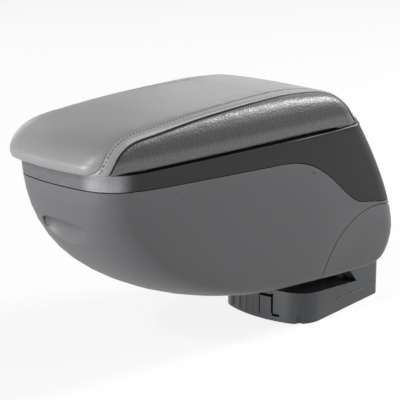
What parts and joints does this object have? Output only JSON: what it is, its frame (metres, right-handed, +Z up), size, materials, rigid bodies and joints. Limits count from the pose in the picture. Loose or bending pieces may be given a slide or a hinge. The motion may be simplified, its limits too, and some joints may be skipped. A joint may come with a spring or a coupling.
{
  "type": "car centre armrest",
  "caption": "Padded car centre armrest: a lidded storage box with a rear hinge housing that tilts up on a screw-down adapter.",
  "frame": {"origin": "centre of the mounting face on the adapter's underside", "axes": "+Y from the pad's front to the hinge, +Z up, +X to the right seen from the front, symmetric about X = 0 apart from the adapter's front details"},
  "size_m": [0.135, 0.3685, 0.2115],
  "materials": {
    "pad_leather": "smooth centre panel and pebble-grained side panels",
    "grained_plastic": "fine spark-eroded grain",
    "adapter_plastic": "plain satin moulding",
    "black_plastic": "plain",
    "white_plastic": "plain acetal",
    "black_rubber": "plain",
    "zinc_steel": "bright zinc",
    "magnet": "nickel plated"
  },
  "bodies": {
    "base": {"pivot_housing": "grained_plastic", "pivot_pedestal": "adapter_plastic", "pivot_axle": "zinc_steel", "thrust_washers": "zinc_steel", "spring_washers": "zinc_steel", "axle_nuts": "zinc_steel", "housing_screws": "zinc_steel", "adapter_body": "adapter_plastic", "base_plate": "zinc_steel", "pedestal_screws": "zinc_steel"},
    "armrest": {"box_shell": "grained_plastic", "bin": "grained_plastic", "bin_mat": "black_rubber", "catch_magnet": "magnet", "bin_screws": "zinc_steel", "hinge_leaf": "zinc_steel", "hinge_pin": "zinc_steel", "arm_left": "zinc_steel", "arm_right": "zinc_steel", "arm_screws": "zinc_steel", "arm_bushes": "white_plastic"},
    "lid": {"cushion": "pad_leather", "pad_board": "black_plastic", "lid_shell": "grained_plastic", "lid_liner": "grained_plastic", "lid_keeper": "zinc_steel", "lid_bumpers": "black_rubber", "lid_screws": "zinc_steel", "board_screws": "zinc_steel"}
  },
  "joints": [
    {"name": "armrest_tilt", "type": "hinge", "parent": "base", "child": "armrest", "pos_m": [0, 0.041, 0.061], "axis": [-1, 0, 0], "range_deg": [0, 80]},
    {"name": "lid_hinge", "type": "hinge", "parent": "armrest", "child": "lid", "pos_m": [0, 0.0506, 0.1055], "axis": [-1, 0, 0], "range_deg": [0, 70]}
  ]
}
